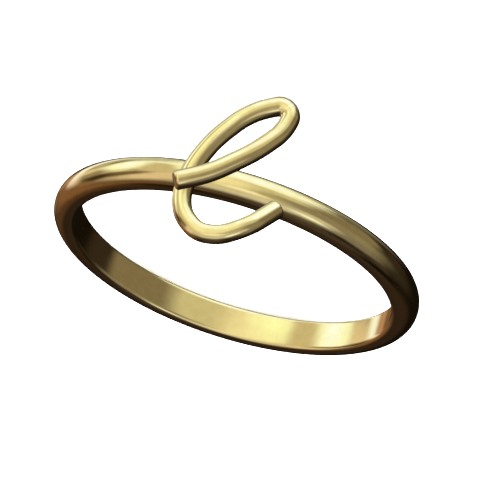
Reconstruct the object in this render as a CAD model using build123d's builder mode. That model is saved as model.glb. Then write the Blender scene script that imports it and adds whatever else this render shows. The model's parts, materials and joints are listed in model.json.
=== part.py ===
from build123d import *
from collections import namedtuple
from math import asin, cos, radians, sin, tan
import os

# Band sizes in millimetres
bore_d = 17.32
band_width = 1.75
band_thickness = 1.30
band_side = 0.42
bore_edge_round = 0.23

# Letter wire sizes in millimetres
wire_d = 1.05
wire_end_round = 0.15
letter_width = 5.20
letter_height = 8.20
loop_pin_d = 0.12

# Depth that the wire sinks into what it is soldered to
crossing_seat = 0.12
crown_seat = 0.15
tail_seat = 0.15

# Where on the band's round crown the tail lands, in degrees from its top
tail_shoulder = 42

# Share of a straight run that the bend at each of its ends takes
bend_share = 0.45

# Points along the wire, and rounds of working out, that find how the ring lies
route_steps = 400
settle_rounds = 12

# The letter's bends in the order that the wire is bent, seen from outside with the loop up.
# across is a share of letter_width from the letter's middle, up is a share of letter_height from
# the band's middle, and lift is a share of the step up from wire on band to wire on wire.
Bend = namedtuple("Bend", "across up lift")
bends = [
    Bend(across=-0.448, up=-0.171, lift=1.17),
    Bend(across=-0.180, up=-0.051, lift=0.64),
    Bend(across=0.180, up=0.182, lift=0.45),
    Bend(across=0.385, up=0.390, lift=0.15),
    Bend(across=0.435, up=0.618, lift=0.00),
    Bend(across=0.000, up=0.463, lift=0.00),
    Bend(across=-0.270, up=0.213, lift=0.00),
    Bend(across=-0.395, up=0.010, lift=0.00),
    Bend(across=-0.420, up=-0.185, lift=0.00),
    Bend(across=-0.340, up=-0.333, lift=0.00),
    Bend(across=-0.135, up=-0.435, lift=0.00),
    Bend(across=0.095, up=-0.418, lift=0.00),
    Bend(across=0.352, up=-0.304, lift=0.20),
]
tail_across = 0.575
loop_tip = 4

bore_r = bore_d / 2
band_r = bore_r + band_thickness
crown_height = band_thickness - band_side
crown_round_r = (crown_height**2 + (band_width / 2) ** 2) / (2 * crown_height)
crown_centre_r = band_r - crown_round_r
wire_r = wire_d / 2
route_r = band_r + wire_r - crown_seat
lift_height = wire_d - crossing_seat
loop_turn_r = wire_r + loop_pin_d / 2
up_along_axis = Vector(0, 0, 1)
straight_back = Vector(0, 1, 0)


def on_ring(along, up, radius):
    """Point at a length along the wire's own circle round the band, a height up the letter and a radius."""
    turn = along / route_r
    return Vector(-radius * sin(turn), -radius * cos(turn), -up)


def route_corners():
    """Corners of the wire's route, wrapped round the band, with the tail brought down on its shoulder."""
    found = []
    for bend in bends:
        radius = route_r + bend.lift * lift_height
        found.append(on_ring(bend.across * letter_width, bend.up * letter_height, radius))
    reach = crown_round_r + wire_r - tail_seat
    tail_r = crown_centre_r + reach * cos(radians(tail_shoulder))
    tail_up = -reach * sin(radians(tail_shoulder))
    found.append(on_ring(tail_across * letter_width, tail_up, tail_r))
    return found


def bend_radii():
    """Radius of each bend: the loop's tip turns round a pin, and the others fill their runs."""
    runs = [after - before for before, after in zip(corners, corners[1:])]
    turns = [radians(before.get_angle(after)) for before, after in zip(runs, runs[1:])]
    room = [run.length * bend_share for run in runs]
    tip_reach = loop_turn_r * tan(turns[loop_tip - 1] / 2)
    for beside_tip in (loop_tip - 1, loop_tip):
        room[beside_tip] = (runs[beside_tip].length - tip_reach) * 2 * bend_share
    found = []
    for place, turn in enumerate(turns):
        found.append(min(room[place], room[place + 1]) / tan(turn / 2))
    found[loop_tip - 1] = loop_turn_r
    return found


def resting_floor(balance_point):
    """Floor, in the ring's own axes, that touches the letter's loop and the band's far edge."""
    centreline = [route.wire() @ (step / route_steps) for step in range(route_steps)]
    down = -up_along_axis
    lean = 0
    for _ in range(settle_rounds):
        tip = max(centreline, key=down.dot)
        to_back = Vector(balance_point.X - tip.X, balance_point.Y - tip.Y, 0).normalized()
        drop = wire_r - tip.Z * cos(lean) - crown_round_r
        lean = asin(drop / (crown_centre_r - tip.dot(to_back)))
        down = to_back * sin(lean) - up_along_axis * cos(lean)
    return Plane(origin=(0, 0, 0), x_dir=straight_back.cross(-down), z_dir=-down)


corners = route_corners()

with BuildLine() as route:
    FilletPolyline(*corners, radius=bend_radii())

# The wire is swept in two lengths that meet past the loop's tip, because it crosses over itself
route_edges = route.wire().edges().sort_by(route.wire())
first_length = 2 * loop_tip + 1

with BuildPart() as band:
    with BuildSketch(Plane.XZ) as band_profile:
        with BuildLine():
            Polyline(
                (bore_r + band_side, -band_width / 2),
                (bore_r, -band_width / 2),
                (bore_r, band_width / 2),
                (bore_r + band_side, band_width / 2),
            )
            ThreePointArc(
                (bore_r + band_side, band_width / 2),
                (band_r, 0),
                (bore_r + band_side, -band_width / 2),
            )
        make_face()
        fillet(band_profile.vertices().group_by(Axis.X)[0], bore_edge_round)
    revolve(axis=Axis.Z)

with BuildPart() as start_wire:
    with BuildLine() as start_route:
        add(route_edges[:first_length])
    with BuildSketch(Plane(origin=start_route.wire() @ 0, z_dir=start_route.wire() % 0)):
        Circle(wire_r)
    sweep()
    start_rims = start_wire.edges().filter_by(GeomType.CIRCLE)
    fillet(start_rims.sort_by_distance(corners[0])[0], wire_end_round)

with BuildPart() as tail_wire:
    with BuildLine() as tail_route:
        add(route_edges[first_length:])
    with BuildSketch(Plane(origin=tail_route.wire() @ 0, z_dir=tail_route.wire() % 0)):
        Circle(wire_r)
    sweep()
    tail_rims = tail_wire.edges().filter_by(GeomType.CIRCLE)
    fillet(tail_rims.sort_by_distance(corners[-1])[0], wire_end_round)

with BuildPart() as soldered_ring:
    add(band.part)
    add(start_wire.part)
    add(tail_wire.part)

# The soldered ring is laid on the floor, with the letter's middle to the front
floor = resting_floor(soldered_ring.part.center(CenterOf.MASS))
laid_ring = floor.to_local_coords(soldered_ring.part)
laid_box = laid_ring.bounding_box()

with BuildPart() as wire_initial_ring:
    with Locations((-laid_box.center().X, -laid_box.center().Y, -laid_box.min.Z)):
        add(laid_ring)

wire_initial_ring.part.label = "wire_initial_ring"
os.makedirs("parts", exist_ok=True)
export_step(wire_initial_ring.part, "parts/wire_initial_ring.step")
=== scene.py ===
import json
from collections import namedtuple
from math import cos, pi, radians, sin, tan

import bmesh
import bpy
from mathutils import Matrix, Vector


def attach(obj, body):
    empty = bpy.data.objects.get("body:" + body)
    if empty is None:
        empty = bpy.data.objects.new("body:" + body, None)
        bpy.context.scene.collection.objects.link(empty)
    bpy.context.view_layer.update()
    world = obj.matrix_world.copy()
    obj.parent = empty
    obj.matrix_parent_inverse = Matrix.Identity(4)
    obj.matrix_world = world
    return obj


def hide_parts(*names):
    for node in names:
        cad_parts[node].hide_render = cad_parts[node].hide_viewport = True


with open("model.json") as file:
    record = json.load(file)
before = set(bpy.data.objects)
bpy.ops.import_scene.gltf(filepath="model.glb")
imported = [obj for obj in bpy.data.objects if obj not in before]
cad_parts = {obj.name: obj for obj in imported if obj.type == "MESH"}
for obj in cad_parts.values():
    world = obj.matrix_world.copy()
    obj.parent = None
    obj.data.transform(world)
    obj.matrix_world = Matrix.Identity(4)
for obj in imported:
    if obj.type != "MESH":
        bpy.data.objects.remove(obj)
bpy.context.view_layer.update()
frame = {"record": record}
bpy.ops.object.select_all(action="DESELECT")


# The band. A slim half-round shank of yellow gold, drawn as D-shaped wire, bent into a ring round a
# mandrel, soldered shut and polished. Its bore is flat across, with two rounded edges for comfort.
mm = 0.001
band_width = 1.75 * mm
band_thickness = 1.30 * mm
band_side = 0.42 * mm
bore_edge_round = 0.23 * mm
side_edge_round = 0.03 * mm
band_steps = 360
crown_steps = 40
bore_edge_steps = 10
side_edge_steps = 3

# Points that lie within a hair of a place are taken to be at it
hair = 0.001 * mm

# The bore's size, place and tilt, as the ring lies on the table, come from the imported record
bore = next(mount for mount in frame["record"]["mounts"] if mount["name"] == "finger_bore")
bore_middle = Vector(bore["pos_m"])
bore_r = bore["dims"]["r_mm"] * mm
ring_axis = Vector(bore["axis"]).normalized()
ring_back = ring_axis.cross(Vector((1, 0, 0))).normalized()
ring_side = ring_back.cross(ring_axis)
ring_turn = Matrix((ring_side, ring_back, ring_axis)).transposed()
ring_place = Matrix.Translation(bore_middle) @ ring_turn.to_4x4()

# The band's section has a round crown on two short straight sides
band_r = bore_r + band_thickness
side_r = bore_r + band_side
crown_height = band_thickness - band_side
crown_round_r = (crown_height**2 + (band_width / 2) ** 2) / (2 * crown_height)
crown_centre_r = band_r - crown_round_r
crown_half_turn = Vector((side_r - crown_centre_r, band_width / 2)).angle(Vector((1, 0)))


def edit_mesh(piece):
    """The piece's mesh while it is in edit mode, with nothing selected."""
    bpy.ops.mesh.select_all(action="DESELECT")
    return bmesh.from_edit_mesh(piece.data)


def select_points(piece, wanted):
    """Selects the points that wanted says yes to, and the edges between them."""
    mesh = edit_mesh(piece)
    for point in mesh.verts:
        point.select = wanted(point.co)
    mesh.select_flush(True)
    bmesh.update_edit_mesh(piece.data)


def lay_in_ring(piece):
    """Turns a piece made round the world's axis to the ring's place, and keeps its flats flat."""
    piece.matrix_world = ring_place
    bpy.ops.object.transform_apply(location=True, rotation=True, scale=True)
    bpy.ops.object.shade_smooth()
    flats = piece.modifiers.new("flats", "WEIGHTED_NORMAL")
    bpy.ops.object.modifier_apply(modifier=flats.name)
    piece.select_set(False)


# The section is drawn beside the axis: two straight sides and the bore's line from a plane's edges,
# the crown spun between them, and the corners rounded. Then it is spun into the whole band.
bpy.ops.mesh.primitive_plane_add(
    size=1, location=(bore_r + band_side / 2, 0, 0), rotation=(pi / 2, 0, 0)
)
band = bpy.context.object
band.name = "band"
band.scale = (band_side, band_width, 1)
bpy.ops.object.transform_apply(location=True, rotation=True, scale=True)
bpy.ops.object.mode_set(mode="EDIT")
bpy.ops.mesh.delete(type="ONLY_FACE")
select_points(band, lambda co: co.x > side_r - hair)
bpy.ops.mesh.delete(type="EDGE_FACE")
select_points(band, lambda co: co.x > side_r - hair and co.z < 0)
bpy.ops.mesh.spin(
    steps=crown_steps, angle=2 * crown_half_turn, center=(crown_centre_r, 0, 0), axis=(0, 1, 0)
)
bpy.ops.mesh.select_all(action="SELECT")
bpy.ops.mesh.remove_doubles(threshold=hair)
select_points(band, lambda co: co.x < bore_r + hair)
bpy.ops.mesh.bevel(offset=bore_edge_round, segments=bore_edge_steps, affect="VERTICES")
crown_foot = band_width / 2 - hair
select_points(band, lambda co: abs(co.x - side_r) < hair and abs(co.z) > crown_foot)
bpy.ops.mesh.bevel(offset=side_edge_round, segments=side_edge_steps, affect="VERTICES")
bpy.ops.mesh.select_all(action="SELECT")
bpy.ops.mesh.spin(steps=band_steps, angle=2 * pi, center=(0, 0, 0), axis=(0, 0, 1))
bpy.ops.mesh.select_all(action="SELECT")
bpy.ops.mesh.remove_doubles(threshold=hair)
bpy.ops.mesh.normals_make_consistent(inside=False)
bpy.ops.object.mode_set(mode="OBJECT")
lay_in_ring(band)

# The gold's colours, and the marks that polishing leaves in it. Each mark comes in between two
# heights of a noise, its limits, and haze is how rough it leaves the polish.
deep_gold = (0.875, 0.672, 0.283)
pale_gold = (0.925, 0.720, 0.318)
rubbed_gold = (0.965, 0.790, 0.400)
rubbed_limits = (0.52, 0.60)
mottle_size = 0.45 * mm
mottle_detail = 3
mottle_colour_limits = (0.30, 0.70)
mottle_haze_limits = (0.25, 0.75)
mottle_haze = (0.075, 0.115)
wave_size = 1.6 * mm
wave_detail = 1
wave_depth = 0.02 * mm
wave_strength = 0.12
scratch_detail = 2
scratch_limits = (0.66, 0.80)
scratch_haze = (0, 0.04)
scratch_depth = 0.002 * mm
scratch_strength = 0.07

# Scratches are noise that is squeezed across the line that they run along
Scratches = namedtuple("Scratches", "length squeeze turn")
long_scratches = Scratches(length=0.5 * mm, squeeze=(1, 22, 22), turn=(0.3, 0.5, 0.9))
cross_scratches = Scratches(length=0.6 * mm, squeeze=(24, 1, 24), turn=(0.7, 0.2, -0.6))

# The Mix node's sockets for its two colours and for their blend
first_colour, second_colour, mixed_colour = 6, 7, 2


def add_node(tree, kind, inputs, **settings):
    """Adds a node with its settings, and gives each input a value or another node's output."""
    node = tree.nodes.new(kind)
    for setting, value in settings.items():
        setattr(node, setting, value)
    for socket, value in inputs.items():
        if isinstance(value, bpy.types.NodeSocket):
            tree.links.new(value, node.inputs[socket])
        else:
            node.inputs[socket].default_value = value
    return node


def noise(tree, place, size, detail, squeeze=(1, 1, 1), turn=(0, 0, 0)):
    """Noise with blots about size long, squeezed along each axis and then turned."""
    laid = {"Vector": place, "Rotation": turn, "Scale": squeeze}
    mapping = add_node(tree, "ShaderNodeMapping", laid)
    blots = {"Vector": mapping.outputs["Vector"], "Scale": 1 / size, "Detail": detail}
    return add_node(tree, "ShaderNodeTexNoise", blots).outputs["Fac"]


def spread(tree, value, limits, results=(0, 1)):
    """A value's way from one limit to the other, as a smooth way from one result to the other."""
    inputs = {
        "Value": value,
        "From Min": limits[0],
        "From Max": limits[1],
        "To Min": results[0],
        "To Max": results[1],
    }
    eased = add_node(tree, "ShaderNodeMapRange", inputs, interpolation_type="SMOOTHSTEP")
    return eased.outputs["Result"]


def blended(tree, share, first, second):
    """A colour that is share of the way from the first to the second."""
    inputs = {"Factor": share}
    for socket, colour in ((first_colour, first), (second_colour, second)):
        inputs[socket] = (*colour, 1) if isinstance(colour, tuple) else colour
    return add_node(tree, "ShaderNodeMix", inputs, data_type="RGBA").outputs[mixed_colour]


def combined(tree, kind, first, second):
    """The sum or the greater of two values."""
    inputs = {0: first, 1: second}
    return add_node(tree, "ShaderNodeMath", inputs, operation=kind).outputs["Value"]


def polished_gold(name):
    """Yellow gold with a hand polish: faint waves, hairline scratches and edges rubbed bright."""
    gold = bpy.data.materials.new(name)
    gold.use_nodes = True
    tree = gold.node_tree
    place = tree.nodes.new("ShaderNodeTexCoord").outputs["Object"]
    ridges = tree.nodes.new("ShaderNodeNewGeometry").outputs["Pointiness"]
    waves = noise(tree, place, wave_size, wave_detail)
    mottle = noise(tree, place, mottle_size, mottle_detail)
    long_marks, cross_marks = (
        noise(tree, place, marks.length, scratch_detail, marks.squeeze, marks.turn)
        for marks in (long_scratches, cross_scratches)
    )
    scratches = spread(tree, combined(tree, "MAXIMUM", long_marks, cross_marks), scratch_limits)

    body = blended(tree, spread(tree, mottle, mottle_colour_limits), deep_gold, pale_gold)
    colour = blended(tree, spread(tree, ridges, rubbed_limits), body, rubbed_gold)
    haze = spread(tree, mottle, mottle_haze_limits, mottle_haze)
    roughness = combined(tree, "ADD", haze, spread(tree, scratches, (0, 1), scratch_haze))
    ripple = {"Height": waves, "Distance": wave_depth, "Strength": wave_strength}
    rippled = add_node(tree, "ShaderNodeBump", ripple).outputs["Normal"]
    cut = {"Height": scratches, "Distance": scratch_depth, "Strength": scratch_strength}
    surface = add_node(tree, "ShaderNodeBump", {**cut, "Normal": rippled}, invert=True)

    shader = tree.nodes["Principled BSDF"]
    shader.inputs["Metallic"].default_value = 1
    tree.links.new(colour, shader.inputs["Base Color"])
    tree.links.new(roughness, shader.inputs["Roughness"])
    tree.links.new(surface.outputs["Normal"], shader.inputs["Normal"])
    return gold


band.data.materials.append(polished_gold("polished_gold_band"))
band.visible_glossy = False
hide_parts("wire_initial_ring")
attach(band, "root")


# The letter. One length of round gold wire, cut square, its cut rims eased, then bent over pegs
# into a script letter that follows the band's curve. Its start lies over its own down stroke, which
# is soldered across the front of the band, and its tail ends on the band's shoulder.
wire_r = 0.525 * mm
wire_end_round = 0.15 * mm
letter_width = 5.20 * mm
letter_height = 8.20 * mm
loop_pin_r = 0.06 * mm
crossing_seat = 0.12 * mm
crown_seat = 0.15 * mm
tail_seat = 0.15 * mm
tail_shoulder = radians(42)
bend_share = 0.45
wire_sides = 64
wire_end_steps = 8
bend_step = radians(2.5)

# The bends in the order that the wire is bent. across is a share of letter_width from the letter's
# middle, up is a share of letter_height from the band's middle, and lift is a share of the step up
# from wire on band to wire on wire.
Bend = namedtuple("Bend", "across up lift")
bends = [
    Bend(across=-0.448, up=-0.171, lift=1.17),
    Bend(across=-0.180, up=-0.051, lift=0.64),
    Bend(across=0.180, up=0.182, lift=0.45),
    Bend(across=0.385, up=0.390, lift=0.15),
    Bend(across=0.435, up=0.618, lift=0.00),
    Bend(across=0.000, up=0.463, lift=0.00),
    Bend(across=-0.270, up=0.213, lift=0.00),
    Bend(across=-0.395, up=0.010, lift=0.00),
    Bend(across=-0.420, up=-0.185, lift=0.00),
    Bend(across=-0.340, up=-0.333, lift=0.00),
    Bend(across=-0.135, up=-0.435, lift=0.00),
    Bend(across=0.095, up=-0.418, lift=0.00),
    Bend(across=0.352, up=-0.304, lift=0.20),
]
tail_across = 0.575
loop_tip = 4
route_r = band_r + wire_r - crown_seat
lift_height = 2 * wire_r - crossing_seat


def on_ring(along, up, radius):
    """Point at a length along the wire's circle, a height up the letter and a radius."""
    turn = along / route_r
    return Vector((-radius * sin(turn), -radius * cos(turn), -up))


corners = [
    on_ring(bend.across * letter_width, bend.up * letter_height, route_r + bend.lift * lift_height)
    for bend in bends
]
tail_reach = crown_round_r + wire_r - tail_seat
tail_r = crown_centre_r + tail_reach * cos(tail_shoulder)
corners.append(on_ring(tail_across * letter_width, -tail_reach * sin(tail_shoulder), tail_r))
runs = [after - before for before, after in zip(corners, corners[1:])]
turns = [before.angle(after) for before, after in zip(runs, runs[1:])]

# Each bend fills the runs beside it, but the loop's tip turns round a thin pin
bend_room = [run.length * bend_share for run in runs]
loop_turn_r = wire_r + loop_pin_r
tip_reach = loop_turn_r * tan(turns[loop_tip - 1] / 2)
for beside_tip in (loop_tip - 1, loop_tip):
    bend_room[beside_tip] = (runs[beside_tip].length - tip_reach) * 2 * bend_share
bend_radii = [
    min(bend_room[place], bend_room[place + 1]) / tan(turn / 2)
    for place, turn in enumerate(turns)
]
bend_radii[loop_tip - 1] = loop_turn_r

# The wire is drawn out straight from its cut end to each bend, and round it to the next run
bpy.ops.mesh.primitive_circle_add(
    vertices=wire_sides,
    radius=wire_r,
    fill_type="NGON",
    location=corners[0],
    rotation=runs[0].normalized().to_track_quat("Z", "Y").to_euler(),
)
letter = bpy.context.object
letter.name = "letter_wire"
bpy.ops.object.transform_apply(location=True, rotation=True, scale=True)
bpy.ops.object.mode_set(mode="EDIT")
bpy.ops.mesh.select_all(action="SELECT")
open_end = corners[0]
for place, turn in enumerate(turns):
    way = runs[place].normalized()
    next_way = runs[place + 1].normalized()
    reach = bend_radii[place] * tan(turn / 2)
    bend_start = corners[place + 1] - way * reach
    bpy.ops.mesh.extrude_region_move(TRANSFORM_OT_translate={"value": bend_start - open_end})
    hinge = way.cross(next_way).normalized()
    # Blender's spin turns the other way round its axis
    bpy.ops.mesh.spin(
        steps=round(turn / bend_step),
        angle=-turn,
        center=bend_start + hinge.cross(way) * bend_radii[place],
        axis=hinge,
    )
    open_end = corners[place + 1] + next_way * reach
bpy.ops.mesh.extrude_region_move(TRANSFORM_OT_translate={"value": corners[-1] - open_end})

# The rims of the two cut ends are eased
mesh = edit_mesh(letter)
for face in mesh.faces:
    if len(face.verts) == wire_sides:
        for edge in face.edges:
            edge.select = True
mesh.select_flush_mode()
bmesh.update_edit_mesh(letter.data)
bpy.ops.mesh.bevel(offset=wire_end_round, segments=wire_end_steps, affect="EDGES")
bpy.ops.mesh.select_all(action="SELECT")
bpy.ops.mesh.normals_make_consistent(inside=False)
bpy.ops.object.mode_set(mode="OBJECT")
lay_in_ring(letter)
letter.data.materials.append(polished_gold("polished_gold_wire"))
letter.visible_glossy = False
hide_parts("wire_initial_ring")
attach(letter, "root")


# The floor. A plain white table top, large enough that no edge shows from any side. It isn't seen
# in the gold, so that the ring shows the studio's own soft lights.
table_size = 2
table_white = (0.9, 0.9, 0.9)
table_roughness = 0.9

bpy.ops.mesh.primitive_plane_add(size=table_size)
floor = bpy.context.object
floor.name = "floor"
white = bpy.data.materials.new("white_table")
white.use_nodes = True
paint = white.node_tree.nodes["Principled BSDF"]
paint.inputs["Base Color"].default_value = (*table_white, 1)
paint.inputs["Roughness"].default_value = table_roughness
paint.inputs["Specular IOR Level"].default_value = 0
floor.data.materials.append(white)
floor.visible_glossy = False
floor.select_set(False)


# The studio. An even white tent lights the table, and soft panels round the ring are what the gold
# shows: bright ones low in front, dimmer ones at the sides, and dark cloth behind.
white_cloth = (1, 1, 1)
tent_light = 4
dark_cloth = (0.008, 0.006, 0.004)

# Each panel hangs in front of those before it. heading is degrees round from the front to the
# right, and rise is degrees above level. The half sizes are shares of how far off it hangs, and
# softness is the share of them over which its rim fades, inwards and outwards.
Panel = namedtuple("Panel", "name heading rise half_width half_height softness colour")
panels = [
    Panel("below", 0, -89, 0.30, 0.30, 0.55, (0.480, 0.540, 0.680)),
    Panel("dim above", 160, 66, 0.50, 0.32, 0.60, (0.070, 0.055, 0.050)),
    Panel("ceiling", 0, 60, 0.92, 0.49, 0.50, (0.700, 0.750, 0.860)),
    Panel("behind left", -172, 54, 0.36, 0.20, 0.60, (0.060, 0.048, 0.046)),
    Panel("high dusk", -126, 71, 0.18, 0.12, 0.80, (0.110, 0.100, 0.085)),
    Panel("behind", -178, 17, 0.37, 0.27, 0.60, (0.032, 0.021, 0.017)),
    Panel("behind high", -178, 32, 0.20, 0.14, 0.70, (0.038, 0.031, 0.030)),
    Panel("left dusk", -118, 8, 0.34, 0.45, 0.70, (0.032, 0.027, 0.024)),
    Panel("low left dusk", -109, -28, 0.23, 0.30, 0.60, (0.037, 0.027, 0.024)),
    Panel("left side", -65, 18, 0.63, 0.62, 0.40, (0.280, 0.275, 0.250)),
    Panel("left high", -98, 36, 0.30, 0.22, 0.70, (0.220, 0.215, 0.230)),
    Panel("low left", -66, -26, 0.44, 0.44, 0.18, (0.235, 0.215, 0.185)),
    Panel("right side", 80, 28, 0.55, 0.50, 0.45, (0.520, 0.470, 0.430)),
    Panel("right middle", 100, -9, 0.26, 0.15, 0.60, (0.340, 0.310, 0.270)),
    Panel("right upper", 88, 1, 0.11, 0.09, 0.70, (0.560, 0.510, 0.450)),
    Panel("front wall", 16, 8, 0.63, 1.00, 0.42, (0.670, 0.680, 0.610)),
    Panel("low wall", -25, -12, 0.28, 0.28, 0.50, (0.660, 0.690, 0.620)),
    Panel("low wall foot", -16, -28, 0.38, 0.14, 0.70, (1.000, 1.120, 1.200)),
    Panel("low left floor", -116, -65, 0.54, 0.22, 0.80, (0.175, 0.185, 0.210)),
    Panel("pale low left", -90, -77, 0.28, 0.13, 0.80, (0.380, 0.400, 0.400)),
    Panel("low front", 10, -56, 0.70, 0.54, 0.24, (1.070, 1.310, 1.560)),
    Panel("low left corner", -78, -50, 0.21, 0.10, 0.80, (0.155, 0.150, 0.120)),
    Panel("low front left", -54, -64, 0.15, 0.10, 0.60, (0.900, 1.000, 1.150)),
    Panel("white low lamp", 0, -52, 0.30, 0.28, 0.80, (1.130, 1.390, 2.250)),
    Panel("front wall edge", -14, 24, 0.14, 0.20, 0.80, (0.430, 0.440, 0.340)),
    Panel("front lamp", 18, 5, 0.37, 0.50, 0.70, (1.030, 1.100, 1.020)),
    Panel("low lamp", 27, -19, 0.26, 0.18, 0.60, (1.120, 1.380, 1.270)),
    Panel("right wall", 56, -10, 0.24, 0.52, 0.25, (0.660, 0.640, 0.560)),
    Panel("right tail", 104, -24, 0.27, 0.15, 0.60, (0.800, 0.740, 0.640)),
    Panel("right lamp", 76.5, -23, 0.25, 0.42, 0.35, (1.100, 1.330, 1.450)),
    Panel("right lamp heart", 74, -28, 0.11, 0.25, 0.80, (1.120, 1.420, 2.250)),
    Panel("right lamp top", 80, 1, 0.10, 0.09, 0.70, (0.880, 0.940, 0.900)),
    Panel("front high right", 56, 28, 0.16, 0.12, 0.70, (0.800, 0.770, 0.700)),
    Panel("tan right", 76, 40, 0.36, 0.20, 0.60, (0.820, 0.750, 0.730)),
    Panel("dim right", 84, 19, 0.32, 0.13, 0.60, (0.180, 0.150, 0.100)),
    Panel("dark right", 104, 11, 0.27, 0.14, 0.60, (0.060, 0.038, 0.022)),
    Panel("behind right", 151, 5, 0.20, 0.55, 0.55, (0.088, 0.046, 0.028)),
    Panel("warm right", 135, 0, 0.20, 0.80, 0.60, (0.225, 0.118, 0.068)),
    Panel("warm upper", 120, 12, 0.11, 0.19, 0.70, (0.260, 0.165, 0.110)),
    Panel("warm strip", 120, -8, 0.11, 0.16, 0.80, (0.640, 0.530, 0.520)),
    Panel("warm lamp", 120, -20, 0.12, 0.17, 0.80, (1.000, 0.970, 1.150)),
    Panel("low right floor", 105, -62, 0.42, 0.16, 0.50, (0.580, 0.640, 0.700)),
    Panel("low right lamp", 120.5, -41, 0.13, 0.29, 0.42, (1.080, 1.260, 1.520)),
    Panel("low right shade", 101, -42, 0.17, 0.19, 0.55, (0.530, 0.530, 0.480)),
    Panel("low right gap", 93, -43, 0.07, 0.10, 0.80, (0.270, 0.260, 0.200)),
    Panel("high lamp", 1, 43, 0.22, 0.15, 0.70, (1.040, 1.140, 1.200)),
    Panel("high left streak", -58, 41, 0.24, 0.17, 0.75, (0.660, 0.690, 0.750)),
    Panel("high left lamp", -62, 55, 0.18, 0.12, 0.70, (1.060, 1.200, 1.500)),
    Panel("dark high right", 158, 43, 0.17, 0.15, 0.60, (0.015, 0.008, 0.006)),
    Panel("dark high left", -155, 35, 0.13, 0.13, 0.60, (0.008, 0.005, 0.003)),
    Panel("high left dusk", -131, 35, 0.15, 0.13, 0.80, (0.055, 0.045, 0.042)),
    Panel("behind the ring", -176, -38, 0.44, 0.52, 0.20, (0.008, 0.006, 0.004)),
    Panel("warm end", 135, -32, 0.12, 0.10, 0.75, (0.530, 0.310, 0.190)),
    Panel("dusky end", 150, -34, 0.12, 0.12, 0.60, (0.190, 0.110, 0.050)),
    Panel("end glow", 149, -22, 0.07, 0.07, 0.60, (0.200, 0.155, 0.100)),
]


def directions(heading, rise):
    """The level, upright and outward directions of what faces the ring at a heading and rise."""
    outward = Vector((sin(heading) * cos(rise), -cos(heading) * cos(rise), sin(rise)))
    level = Vector((cos(heading), sin(heading), 0))
    return level, outward.cross(level), outward


studio = bpy.data.worlds.new("studio")
bpy.context.scene.world = studio
studio.use_nodes = True
lights = studio.node_tree
lights.nodes.clear()
sky = lights.nodes.new("ShaderNodeTexCoord").outputs["Generated"]

shown_in_gold = dark_cloth
for panel in panels:
    level, upright, outward = directions(radians(panel.heading), radians(panel.rise))
    hung = {
        "Vector": sky,
        "Location": outward,
        "Rotation": Matrix((level, upright, outward)).transposed().to_euler(),
        "Scale": (panel.half_width, panel.half_height, 1),
    }
    on_panel = add_node(lights, "ShaderNodeMapping", hung, vector_type="TEXTURE", label=panel.name)
    from_panel = {0: on_panel.outputs["Vector"]}
    off_middle = add_node(lights, "ShaderNodeVectorMath", from_panel, operation="LENGTH")
    rim = (1 - panel.softness, 1 + panel.softness)
    share = spread(lights, off_middle.outputs["Value"], rim, (1, 0))
    shown_in_gold = blended(lights, share, shown_in_gold, panel.colour)

# The gold mirrors the panels, and everything else is lit by the tent. The panels are found by the
# gold's own reflections, so the studio isn't sampled as a lamp as well.
ray = lights.nodes.new("ShaderNodeLightPath")
white_light = {"Color": (*white_cloth, 1), "Strength": tent_light}
tent = add_node(lights, "ShaderNodeBackground", white_light)
hangings = add_node(lights, "ShaderNodeBackground", {"Color": shown_in_gold})
tent_or_hangings = {
    "Fac": ray.outputs["Is Glossy Ray"],
    1: tent.outputs["Background"],
    2: hangings.outputs["Background"],
}
studio_light = add_node(lights, "ShaderNodeMixShader", tent_or_hangings)
add_node(lights, "ShaderNodeOutputWorld", {"Surface": studio_light.outputs["Shader"]})
studio.cycles.sampling_method = "NONE"


# The camera. It looks down at the ring from the photograph's side, without perspective, and is
# rolled nearly half round, because the ring lies with the letter's loop towards the floor.
camera_heading = radians(-9.46)
camera_rise = radians(34.66)
camera_roll = radians(-162.06)
camera_distance = 200 * mm
nearest_shown = 1 * mm
farthest_shown = 5000 * mm
frame_width = 25.12 * mm
frame_middle_right = 0.175 * mm
frame_middle_up = 0.840 * mm

level, upright, outward = directions(camera_heading, camera_rise)
frame_right = level * cos(camera_roll) + upright * sin(camera_roll)
frame_up = outward.cross(frame_right)
aim = bore_middle + frame_right * frame_middle_right + frame_up * frame_middle_up
bpy.ops.object.camera_add(location=aim + outward * camera_distance)
camera = bpy.context.object
camera.rotation_euler = Matrix((frame_right, frame_up, outward)).transposed().to_euler()
camera.data.type = "ORTHO"
camera.data.ortho_scale = frame_width
camera.data.clip_start = nearest_shown
camera.data.clip_end = farthest_shown
bpy.context.scene.camera = camera
bpy.context.scene.view_settings.view_transform = "Standard"
